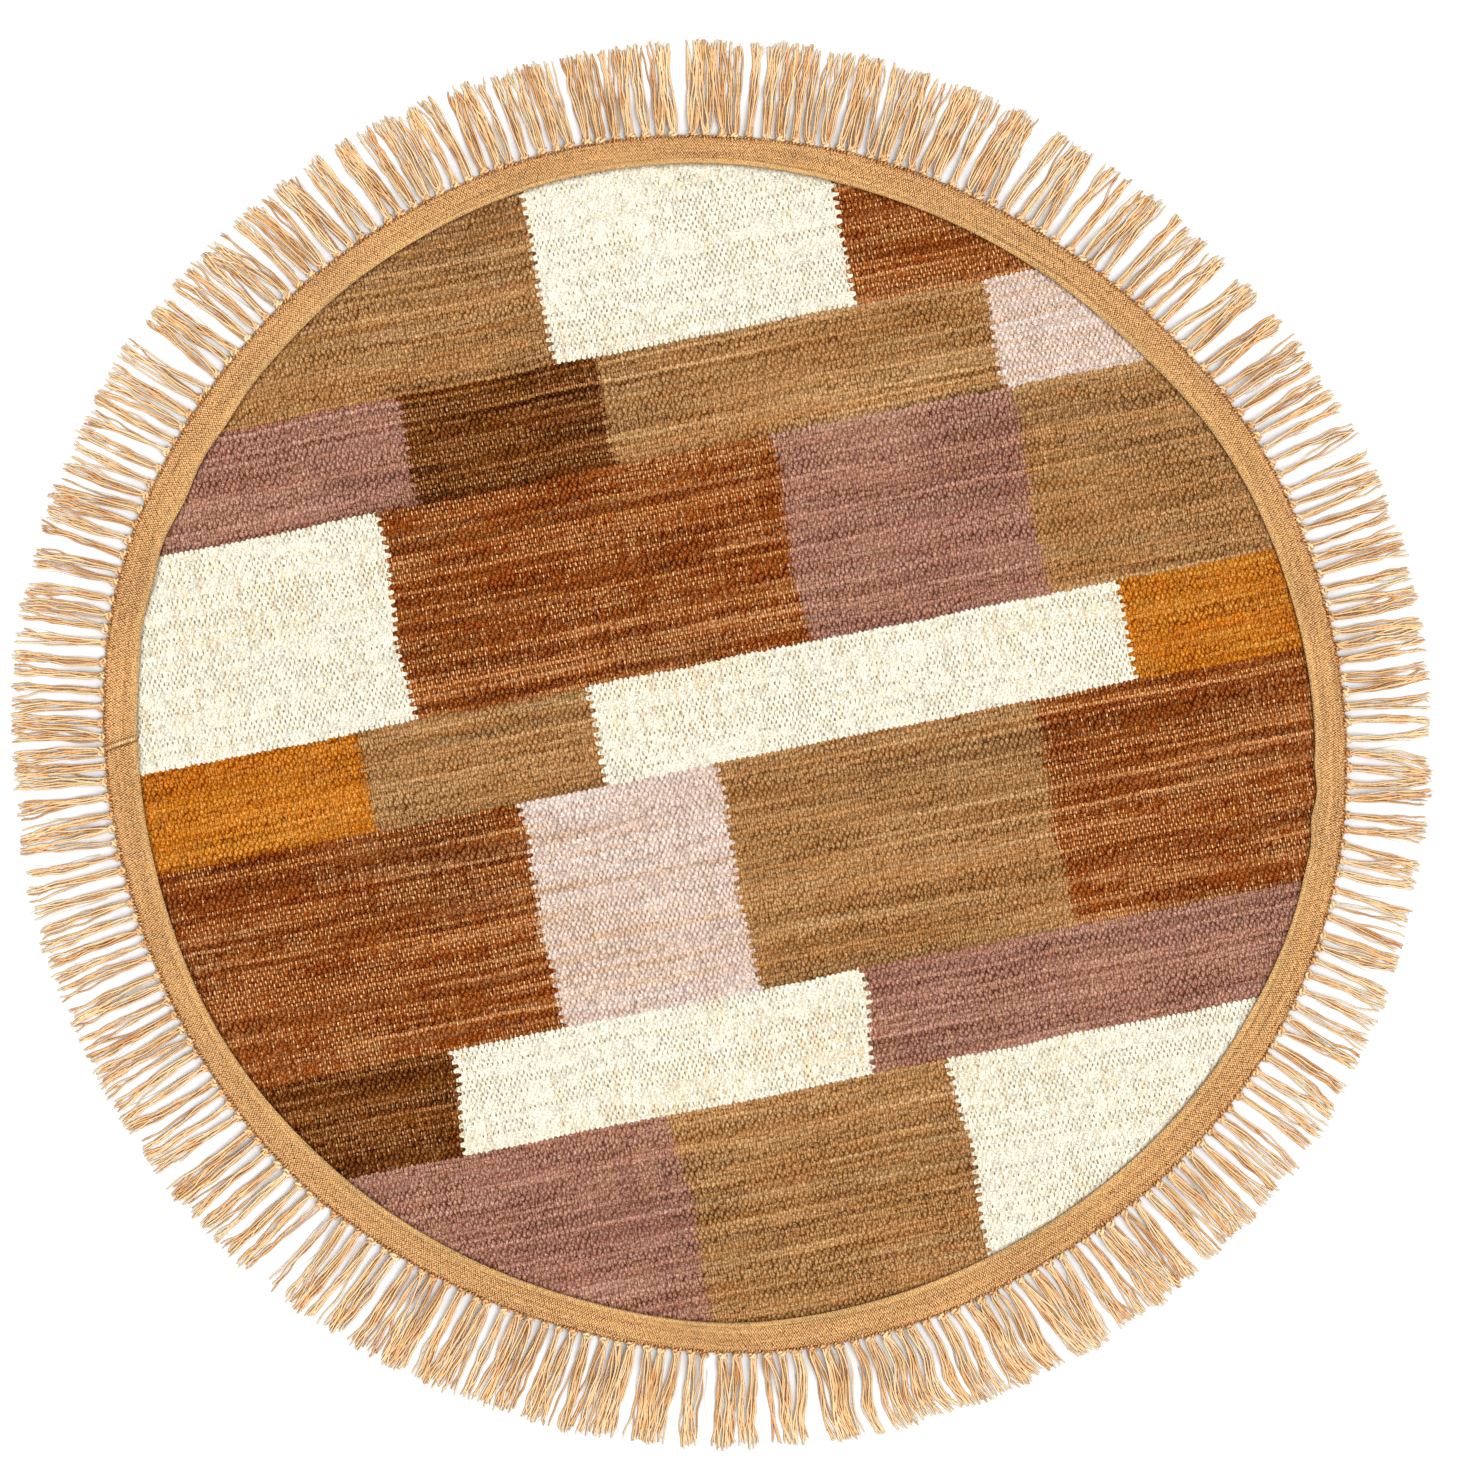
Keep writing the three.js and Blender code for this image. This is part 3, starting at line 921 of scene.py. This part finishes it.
def yarnLine(rng, lock, pulled, place):  # one yarn of a lock: its points, radii and layer
    share = np.linspace(-0.03, 1, fringe["steps"] + 1)
    free = (lock["free"] + fringe["neck"]) * rng.uniform(*fringe["lengthShare"])
    out = np.clip(share, 0, 1)
    opened = out ** place["opening"]
    aside = lock["lean"] * out ** fringe["leanCurve"] + lock["bow"] * np.sin(math.pi * out)
    aside = aside + lock["sCurve"] * np.sin(math.tau * out)
    aside = aside + pulled * out**1.3 + place["root"] * (1 - opened) + place["tip"] * opened
    if rng.random() < fringe["strayShare"]:  # it strays over its neighbours
        side = rng.choice([-1, 1])
        aside = aside + side * rng.uniform(*fringe["strayReach"]) * out ** rng.uniform(*fringe["strayCurve"])
    for waveLength in [rng.uniform(*ends) for ends in fringe["waves"]]:
        depth = fringe["waveDepth"] * rng.uniform(0.3, 1.0) * (waveLength / fringe["usualWave"]) ** 0.7
        phase = math.tau * out * lock["free"] / waveLength + rng.uniform(0, 6.3)
        aside = aside + depth * np.sin(phase) * out**0.6
    radius = rng.uniform(*fringe["yarnRadius"])
    layer = int(rng.integers(0, len(fringe["layerShadeTones"])))
    rise = rng.uniform(*fringe["rootRise"]) * (1 - smooth(out, 0.0, rng.uniform(0.35, 0.8)))
    hump = rng.uniform(0, fringe["hump"]) * np.sin(math.pi * np.clip(out * rng.uniform(0.9, 1.3), 0, 1)) ** 2
    height = radius + layer * fringe["layer"] * (1 - 0.6 * out) + rise + hump
    radii = radius * (1 - 0.3 * smooth(out, 0.93, 1.0)) * (1 + 0.08 * rng.uniform(-1, 1, len(share)))
    start = lock["start"] + fringe["knotLength"] - fringe["neck"]
    return polar(lock["bearing"], start + share * free, height, aside), radii, layer


def hairLine(rng, points):  # a loose fibre that leaves a yarn near its tip
    first = int(rng.integers(len(points) - 4, len(points) - 1))
    ahead = points[-1] - points[first - 1]
    ahead = ahead / np.linalg.norm(ahead)
    side = np.array([-ahead[1], ahead[0], 0.0])
    reach = rng.uniform(*fringe["hairReach"])
    turn = rng.uniform(-0.5, 0.5)
    share = np.linspace(0, 1, 3)[:, None]
    line = points[first] + ahead * share * reach + side * share**1.6 * turn * reach
    line[:, 2] = np.maximum(line[:, 2], fringe["hairRadius"])
    return line, fringe["hairRadius"] * np.linspace(1, 0.7, 3)


def wispLine(rng, lock):  # a thin pale fibre between two locks
    out = np.linspace(rng.uniform(0.05, 0.3), rng.uniform(0.6, 1.03), 7)
    side = rng.choice([-1, 1])
    aside = side * rng.uniform(*fringe["wispReach"]) * out ** rng.uniform(0.5, 1.5)
    aside = aside + lock["lean"] * out ** fringe["leanCurve"]
    aside = aside + rng.uniform(-3, 3) * mm * np.sin(rng.uniform(3, 8) * out)
    points = polar(lock["bearing"], lock["start"] + out * lock["free"], rng.uniform(0.3, 2) * mm, aside)
    return points, fringe["wispRadius"] * np.linspace(1, 0.7, len(out))


def geometryTree(name, inputs):
    tree = bpy.data.node_groups.new(name, "GeometryNodeTree")
    tree.interface.new_socket("Geometry", in_out="INPUT", socket_type="NodeSocketGeometry")
    for label, kind in inputs.items():
        tree.interface.new_socket(label, in_out="INPUT", socket_type=kind)
    tree.interface.new_socket("Geometry", in_out="OUTPUT", socket_type="NodeSocketGeometry")
    entry = tree.nodes.new("NodeGroupInput")
    return Wire(tree), {socket.name: Wire(tree, socket) for socket in entry.outputs if socket.name}


def endTree(wire, shape, material):
    shape = wire.add("GeometryNodeRealizeInstances", {"Geometry": shape})
    shape = wire.add("GeometryNodeSetMaterial", {"Geometry": shape, "Material": material})
    out = wire.tree.nodes.new("NodeGroupOutput")
    wire.tree.links.new(shape.socket, out.inputs[0])
    return wire.tree


def keepOn(shape, name, kind, value):  # a value kept with each point of a shape
    values = {"Geometry": shape, "Name": name, "Value": value}
    return shape.add("GeometryNodeStoreNamedAttribute", values, data_type=kind, domain="POINT")


def yarnTree():  # lines become tubes with their own radius at each point
    wire, given = geometryTree("yarnSkin", {"Sides": "NodeSocketInt", "Yarn": "NodeSocketMaterial"})
    curve = wire.add("GeometryNodeMeshToCurve", {"Mesh": given["Geometry"]})
    radius = wire.add("GeometryNodeInputNamedAttribute", {"Name": "yarnRadius"}, data_type="FLOAT")
    circle = wire.add("GeometryNodeCurvePrimitiveCircle", {"Resolution": given["Sides"], "Radius": 1.0})
    circle = keepOn(circle, "yarnAround", "FLOAT_VECTOR", wire.add("GeometryNodeInputPosition"))
    values = {"Curve": curve, "Profile Curve": circle, "Scale": radius, "Fill Caps": True}
    tube = wire.add("GeometryNodeCurveToMesh", values)
    tube = wire.add("GeometryNodeSetShadeSmooth", {"Geometry": tube, "Shade Smooth": True})
    # The normal's height is kept for the painted light and shade on the yarns.
    tube = keepOn(tube, "yarnUp", "FLOAT", wire.add("GeometryNodeInputNormal").parts()[2])
    return endTree(wire, tube, given["Yarn"])


def sewnTree():  # copies of one stitch along a line, each turned with it
    inputs = {
        "Pitch": "NodeSocketFloat",
        "Stitch": "NodeSocketObject",
        "Turn wander": "NodeSocketFloat",
        "Size wander": "NodeSocketFloat",
        "Seed": "NodeSocketInt",
        "Thread": "NodeSocketMaterial",
    }
    wire, given = geometryTree("sewnRow", inputs)

    def luck(seed):
        values = {2: -1.0, 3: 1.0, "Seed": seed}
        return wire.add("FunctionNodeRandomValue", values, 1, data_type="FLOAT")

    curve = wire.add("GeometryNodeMeshToCurve", {"Mesh": given["Geometry"]})
    values = {"Curve": curve, "Length": given["Pitch"]}
    curve = wire.add("GeometryNodeResampleCurve", values, mode="LENGTH")
    values = {"Vector": wire.add("GeometryNodeInputTangent")}
    turn = wire.add("FunctionNodeAlignRotationToVector", values, axis="X", pivot_axis="Z")
    twist = luck(given["Seed"]) * given["Turn wander"]
    wobble = wire.add("FunctionNodeEulerToRotation", {0: wire.vector(twist, 0.0, twist)})
    turn = wire.add("FunctionNodeRotateRotation", {0: turn, 1: wobble}, rotation_space="LOCAL")
    size = luck(given["Seed"] + 7) * given["Size wander"] + 1
    shape = wire.add("GeometryNodeObjectInfo", {"Object": given["Stitch"]}, "Geometry")
    values = {"Points": curve, "Instance": shape, "Rotation": turn, "Scale": size}
    return endTree(wire, wire.add("GeometryNodeInstanceOnPoints", values), given["Thread"])


def runTree(obj, tree, values):  # the tree's result becomes the object's own mesh
    modifier = obj.modifiers.new("shape", "NODES")
    modifier.node_group = tree
    for item in tree.interface.items_tree:
        if item.in_out == "INPUT" and item.name in values:
            modifier[item.identifier] = values[item.name]
    depsgraph = bpy.context.evaluated_depsgraph_get()
    evaluated = obj.evaluated_get(depsgraph)
    made = bpy.data.meshes.new_from_object(evaluated, preserve_all_data_layers=True, depsgraph=depsgraph)
    old = obj.data
    obj.modifiers.clear()
    obj.data = made
    bpy.data.meshes.remove(old)
    obj.data.name = obj.name
    print("made:", obj.name, len(made.polygons), "faces")
    return obj


yarnSkin = yarnTree()
sewnRow = sewnTree()


def strand(points, radii, tone):  # the middle line of a yarn
    return {"points": np.asarray(points), "radii": np.asarray(radii), "tone": tone}


def runs(counts):  # the edges of open lines that follow each other in one list of points
    ends = set(np.cumsum(counts) - 1)
    return [(i, i + 1) for i in range(sum(counts)) if i not in ends]


def spin(name, lines, tip, sides, yarn):  # open lines become yarns; each point keeps its yarn's facts
    places = []
    for line in lines:
        steps = np.linalg.norm(np.diff(line["points"], axis=0), axis=1)
        along = np.concatenate([[0], np.cumsum(steps)])
        tone = np.full(len(along), line["tone"])
        places.append(np.stack([along, tone, along / along[-1] * tip], axis=-1))
    radii = np.concatenate([line["radii"] for line in lines])
    facts = {"yarnRadius": radii, "yarnPlace": np.concatenate(places)}
    points = np.concatenate([line["points"] for line in lines])
    edges = runs([len(line["points"]) for line in lines])
    path = meshObject(name, points, edges=edges, attributes=facts)
    return runTree(path, yarnSkin, {"Sides": sides, "Yarn": yarn})


def fringeLines():
    rng = np.random.default_rng(fringe["seed"])
    pulls = clumps(rng)
    lines = []
    for number, pull in enumerate(pulls):
        lock = lockAt(number)
        count = round(rng.uniform(*fringe["yarns"]) * lock["fullness"])
        if rng.random() < fringe["thinShare"]:
            count = fringe["thinYarns"]
        lockTone = rng.uniform(-fringe["lockTone"], fringe["lockTone"])
        places = bundlesOf(rng, count, lock["fullness"])
        found = []
        for order in rng.permutation(count):
            points, radii, layer = yarnLine(rng, lock, pull, places[order])
            # Painted light: the yarn's tone follows how high it lies in the lock.
            tone = fringe["layerShadeTones"][layer] + lockTone + rng.normal(0, fringe["yarnTone"])
            tone = np.clip(tone, 0, 1)
            found.append(strand(points, radii, tone))
            for _ in range(fringe["hairs"]):
                found.append(strand(*hairLine(rng, points), np.clip(tone + fringe["hairTone"], 0, 1)))
        for _ in range(fringe["wisps"]):
            found.append(strand(*wispLine(rng, lock), fringe["wispTone"]))
        lines += [{**line, "lock": number} for line in found]
    return lines


def makeFringe(yarn):
    lines = fringeLines()
    print("fringe:", len(lines), "strands")
    quarter = fringe["lockCount"] // 4
    made = []
    for turn, name in enumerate(("fringe_east", "fringe_north", "fringe_west", "fringe_south")):
        part = [line for line in lines if (line["lock"] + quarter // 2) // quarter % 4 == turn]
        made.append(spin(name, part, 1.0, fringe["sides"], yarn))
    return made


# A knot for each lock, wound from one thick yarn, and the small loops that bind the tape's edge.
knot = {
    "ring": 2.5 * mm,
    "tube": 1.3 * mm,
    "yarnRadius": 1.7 * mm,
    "sizes": (0.82, 1.2),
    "steps": 20,
    "sides": 4,
    "out": 1.3 * mm,
    "height": 4.0 * mm,
    "tone": (0.55, 0.12),
    "seed": 41,
    "neck": {
        "length": 6.4 * mm,
        "aside": (2.0 * mm, 1.2 * mm),
        "height": 3.6 * mm,
        "radii": (0.85 * mm, 0.95 * mm),
    },
    "heading": {
        "out": 1.2 * mm,
        "height": 2.2 * mm,
        "radius": 0.9 * mm,
        "step": 0.3,
        "wave": 0.3 * mm,
        "tone": 0.3,
    },
}
edgeLoops = {
    "pitch": 3.4 * mm,
    "radius": 0.95 * mm,
    "sides": 4,
    "turnWander": 0.5,
    "sizeWander": 0.35,
    "seed": 9,
}


def knotLine(rng, lock):  # a yarn that winds twice through its own ring
    t = np.linspace(0, math.tau, knot["steps"] + 1)
    size = rng.uniform(*knot["sizes"])
    phase = rng.uniform(0, math.tau)
    ringOut = (knot["ring"] + knot["tube"] * np.cos(3 * t + phase)) * size
    aside = ringOut * np.cos(2 * t) * 1.1
    up = ringOut * np.sin(2 * t) * 0.85
    out = knot["tube"] * np.sin(3 * t + phase) * rng.uniform(1.2, 1.8) * size
    low = knot["yarnRadius"] * 1.05
    height = np.maximum(knot["height"] + up + rng.uniform(-0.3, 0.4) * mm, low)
    radius = lock["start"] + knot["out"] + out + rng.uniform(-0.8, 0.8) * mm
    points = polar(lock["bearing"], radius, height, aside + rng.uniform(-0.6, 0.6) * mm)
    radii = np.full(len(t), knot["yarnRadius"]) * rng.uniform(0.85, 1.1, len(t))
    return points, radii


def neckLine(lock, side):  # the yarn that runs from the tape's edge into the knot
    neck = knot["neck"]
    share = np.linspace(0, 1, 5)
    radius = lock["start"] - fringe["headingWidth"] - 0.6 * mm + share * neck["length"]
    aside = side * (neck["aside"][0] - neck["aside"][1] * np.sin(math.pi * share))
    points = polar(lock["bearing"], radius, neck["height"] - 0.2 * mm * share, aside)
    return points, neck["radii"][0] + neck["radii"][1] * np.sin(math.pi * share**1.4) ** 2


def headingLine(rng):  # the cord along the tape's edge that the knots are tied to
    heading = knot["heading"]
    bearings = np.arange(0, fullTurn + heading["step"] / 2, heading["step"])
    slow = np.sin(np.radians(bearings) * 61) * heading["wave"]
    radius = rimAt(bearings)[0] + heading["out"] + slow
    points = polar(bearings, radius, heading["height"] + slow)
    return points, heading["radius"] * rng.uniform(0.85, 1.1, len(bearings))


def makeKnots(yarn):
    rng = np.random.default_rng(knot["seed"])
    lines = [strand(*headingLine(rng), knot["heading"]["tone"])]
    usual, spread = knot["tone"]
    for number in range(fringe["lockCount"]):
        lock = lockAt(number)
        tone = np.clip(usual + rng.normal(0, spread), 0, 1)
        lines.append(strand(*knotLine(rng, lock), tone))
        # The necks are painted darker, as shade under the knot.
        lines += [strand(*neckLine(lock, side), tone - 0.2) for side in (-1, 1)]
    return spin("fringe_knots", lines, 0.5, knot["sides"], yarn)


def lapLine(share):  # points along the lapped end, which lies aslant
    bearing = np.full(len(share), tape["lapTo"] + fullTurn - tape["join"]["back"])
    turned, radius, _ = tapeSurface(bearing, share)
    height = tape["stackHeight"] + tape["join"]["height"] * (1 - smooth(share, 0.9, 1.0))
    return polar(turned, radius, height)


def makeJoin(thread):  # the turned-under end shows as a low roll, sewn down with small stitches
    join = tape["join"]
    rng = np.random.default_rng(join["seed"])
    share = np.linspace(0.06, 0.99, 40)
    roll = lapLine(share)
    radii = join["radius"] * (0.85 + 0.2 * np.cos(np.arange(len(share)) * math.tau / 3))
    lines = [strand(roll, radii, 0.55)]
    step = roll[-1] - roll[0]
    side = np.array([-step[1], step[0], 0.0]) / np.hypot(step[0], step[1])
    across = np.linspace(-1, 1, 5)[:, None]
    for place in np.linspace(0.05, 0.95, join["stitches"]):
        middle = roll[int(place * (len(roll) - 1))]
        points = middle + side * across * rng.uniform(*join["reach"]) + step * across * rng.uniform(0.0, 0.03)
        points[:, 2] += join["radius"] * (1.1 - 1.3 * across[:, 0] ** 2)
        lines.append(strand(points, np.full(len(points), join["stitchRadius"]), rng.uniform(0.45, 0.85)))
    return spin("tape_join", lines, 0.5, join["sides"], thread)


def sewRow(path, row, shape, thread):  # copies of one small tube along a line
    tube = [strand(shape, [row["radius"]] * len(shape), 0.5)]
    tube = spin("stitch_shape", tube, 0.5, row["sides"], None)
    values = {
        "Pitch": row["pitch"], "Stitch": tube, "Thread": thread, "Seed": row["seed"],
        "Turn wander": row["turnWander"], "Size wander": row["sizeWander"],
    }
    made = runTree(path, sewnRow, values)
    bpy.data.objects.remove(tube)
    return made


def makeEdgeLoops(thread):
    shape = [(-0.7, -1.4, 2.2), (-0.35, -0.5, 3.0), (0.2, 0.8, 2.5), (0.5, 1.4, 0.6), (0.3, 1.0, -1.0)]
    bearings = np.arange(0, fullTurn, 0.5)
    height = tape["stackHeight"] / 2 + lapRise(bearings) * 0.5
    points = polar(bearings, rimAt(bearings)[0], height)[::-1]
    edges = [*runs([len(points)]), (len(points) - 1, 0)]
    path = meshObject("tape_edge_loops", points, edges=edges)
    return sewRow(path, edgeLoops, np.array(shape) * mm, thread)


def makeStitches(thread):
    half, thick = stitchRow["length"] / 2, stitchRow["radius"]
    low, high = -thick * 1.6, thick * 0.3
    shape = [(-half, 0, low), (-half * 0.6, 0, high), (half * 0.6, 0, high), (half, 0, low)]
    bearings = np.arange(tape["lapTo"] + 0.3, tape["lapTo"] + fullTurn - 0.3, 0.4)
    outer, inner = rimAt(bearings)
    turned, radius, inner = tapeSurface(bearings, stitchRow["across"] / (outer - inner))
    height = tape["stackHeight"] + liftAt(bearings) + tapeRelief(bearings % fullTurn, radius - inner)
    path = meshObject("tape_stitches", polar(turned, radius, height), edges=runs([len(bearings)]))
    return sewRow(path, stitchRow, shape, thread)


yarnKinds = {
    "fringeYarn": {
        "light": (255, 229, 187), "main": (251, 208, 155), "dark": (220, 162, 105),
        "twist": 5.2 * mm, "grooves": 0.2, "mottle": 40, "mottleDepth": 0.5,
    },
    "loopThread": {
        "light": (252, 204, 142), "main": (232, 170, 108), "dark": (178, 114, 68),
        "twist": 3.0 * mm, "grooves": 0.3, "mottle": 260, "mottleDepth": 1.3,
    },
    "tapeThread": {
        "light": (255, 226, 168), "main": (238, 190, 126), "dark": (198, 142, 86),
        "twist": 1.6 * mm, "grooves": 0.3, "mottle": 300, "mottleDepth": 1.2,
    },
}


def yarnMaterial(name, kind):
    material, shader, wire = newMaterial(name, 0.9, 0.1)
    along, tone, tip = wire.stored("yarnPlace").parts()
    x, y, _ = wire.stored("yarnAround").parts()
    up = wire.stored("yarnUp", "Fac")
    angle = y.math("ARCTAN2", x)
    ply = (angle * 2 + along * (math.tau / kind["twist"])).cos()
    patch = wire.vector(along * 45 + tone * 90, tone * 40).noise(2.0)
    where = wire.add("ShaderNodeTexCoord", {}, "Object")
    tone = tone + (where.noise(scale=kind["mottle"]) - 0.5) * kind["mottleDepth"]
    fleck = wire.vector(along * 900, angle * 1.3 + tone * 30).noise()
    light, main, dark = [linear(kind[part]) for part in ("light", "main", "dark")]
    paler = tip.between(0.9, 1.0) * 0.3
    colour = wire.mix((tone + (patch - 0.5) * 0.6).between(0.1, 0.6), dark, main)
    colour = wire.mix((tone + (patch - 0.5) * 0.4 + paler).between(0.45, 0.9), colour, light)
    # Painted shade in the grooves between the plies.
    colour = colour.scaled(1 - (-ply).between(0.2, 1.0) * kind["grooves"])
    colour = colour.scaled(0.85 + fleck * 0.3)
    # Painted light: the side of the yarn that faces up is paler, its flanks darker and deeper in hue.
    facing = up.between(-0.25, 0.7)
    colour = colour.scaled(0.54 + 0.61 * facing).bent(1.5 - 0.5 * facing)
    height = ply.between(-1.0, 0.6) * 0.2 + fleck * 0.06
    finishMaterial(wire, shader, colour, height * mm)
    return material


# The stage: floor, light and camera. The frame is the photograph's, as wide as the rug needs.
stage = {
    "frameWidth": 1.443,
    "cameraHeight": 4.0,
    "cameraX": 6.87 * mm,
    "cameraY": 9.32 * mm,
    "sensor": 36.0,
    "floorSize": 60.0,
    "floorColour": 0.98,
    "skyStrength": 0.88,
    "sunStrength": 1.6,
    "sunSoftness": 38,
    "sunTilt": (14, 26),
}


def makeStage():
    scene = bpy.context.scene
    camera = addObject("camera", bpy.data.cameras.new("camera"))
    camera.data.sensor_width = stage["sensor"]
    camera.data.lens = stage["sensor"] * stage["cameraHeight"] / stage["frameWidth"]
    camera.location = (shiftX + stage["cameraX"], shiftY + stage["cameraY"], stage["cameraHeight"])
    scene.camera = camera
    scene.view_settings.view_transform = "Standard"

    side = stage["floorSize"] / 2
    corners = [(-side, -side, 0), (side, -side, 0), (side, side, 0), (-side, side, 0)]
    paper, shader, _ = newMaterial("paleFloor", 0.9, 0.5)
    shader.inputs["Base Color"].default_value = [stage["floorColour"]] * 3 + [1]
    floor = meshObject("floor", corners, [(0, 1, 2, 3)], material=paper)
    floor.location.z = -0.2 * mm

    world = bpy.data.worlds.new("softSky")
    world.use_nodes = True
    sky = world.node_tree.nodes["Background"]
    sky.inputs["Color"].default_value = (1, 1, 1, 1)
    sky.inputs["Strength"].default_value = stage["skyStrength"]
    scene.world = world

    sun = addObject("key", bpy.data.lights.new("key", "SUN"))
    sun.data.energy = stage["sunStrength"]
    sun.data.angle = math.radians(stage["sunSoftness"])
    sun.rotation_euler = [math.radians(turn) for turn in stage["sunTilt"]] + [0]
    print("stage ready")


makeStage()
fieldCloth, fieldFlat, fieldArea = makeField()
tapeStrip = makeTape()

fringeYarn, loopThread, tapeThread = [yarnMaterial(name, kind) for name, kind in yarnKinds.items()]
fringeParts = makeFringe(fringeYarn)
knots = makeKnots(fringeYarn)
loops = makeEdgeLoops(loopThread)
stitches = makeStitches(tapeThread)
join = makeJoin(tapeThread)

for piece in (fieldCloth, tapeStrip, *fringeParts, knots, loops, stitches, join):
    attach(piece, "root")
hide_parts("woven_field")
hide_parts("edge_tape")
for piece in fringeParts:
    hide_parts("fringe")
